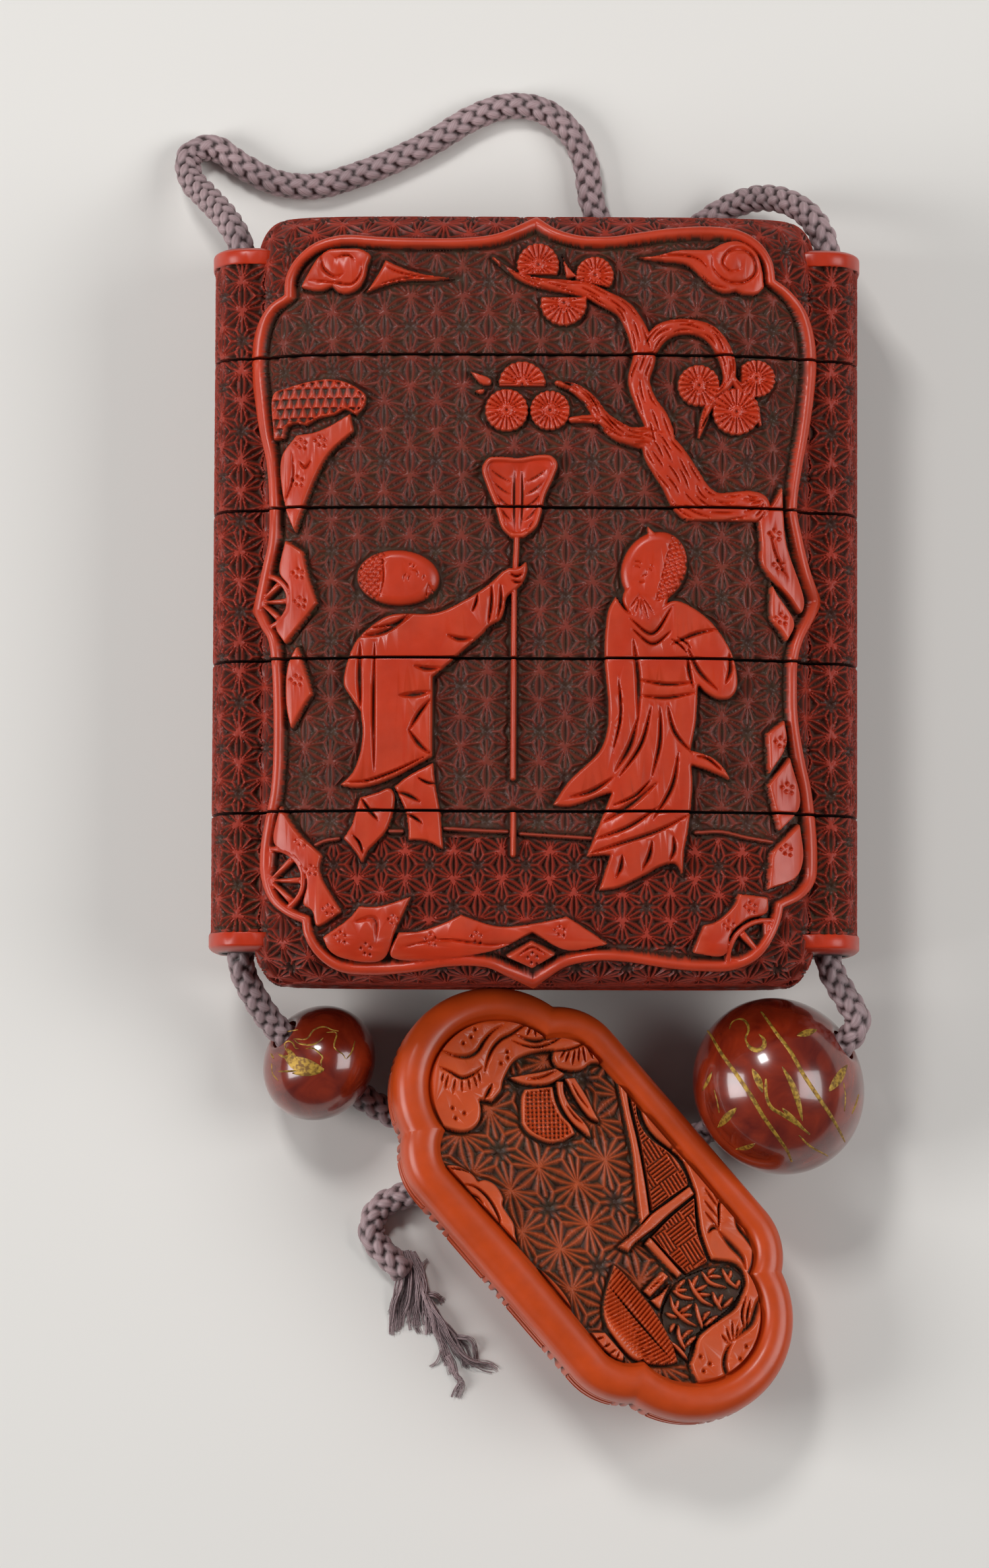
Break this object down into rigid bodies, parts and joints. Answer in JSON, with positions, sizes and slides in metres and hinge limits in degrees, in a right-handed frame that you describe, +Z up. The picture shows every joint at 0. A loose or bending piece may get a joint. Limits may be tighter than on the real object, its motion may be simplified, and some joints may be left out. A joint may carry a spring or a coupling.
{
  "type": "inro case",
  "caption": "Carved red lacquer inro of stacked cases under a lid, on a silk cord with sliding beads and a lobed netsuke.",
  "frame": {"origin": "on the surface it lies on, under the middle of the case", "axes": "+Z up out of the carved front, +Y along the case towards the lid, +X to the right of the carving"},
  "size_m": [0.0689, 0.1326, 0.024],
  "materials": {
    "case_lacquer": "carved and polished red lacquer over a wooden core",
    "netsuke_lacquer": "carved and polished orange-red lacquer over a wooden core",
    "bead_lacquer": "glossy brown-red lacquer with sprinkled gold",
    "silk": "round braided silk, matt"
  },
  "bodies": {
    "root": {"lid": "case_lacquer", "case_1": "case_lacquer", "case_2": "case_lacquer", "case_3": "case_lacquer", "case_4": "case_lacquer", "cord": "silk", "frayed_end": "silk", "small_bead": "bead_lacquer", "large_bead": "bead_lacquer", "netsuke": "netsuke_lacquer"}
  },
  "joints": []
}
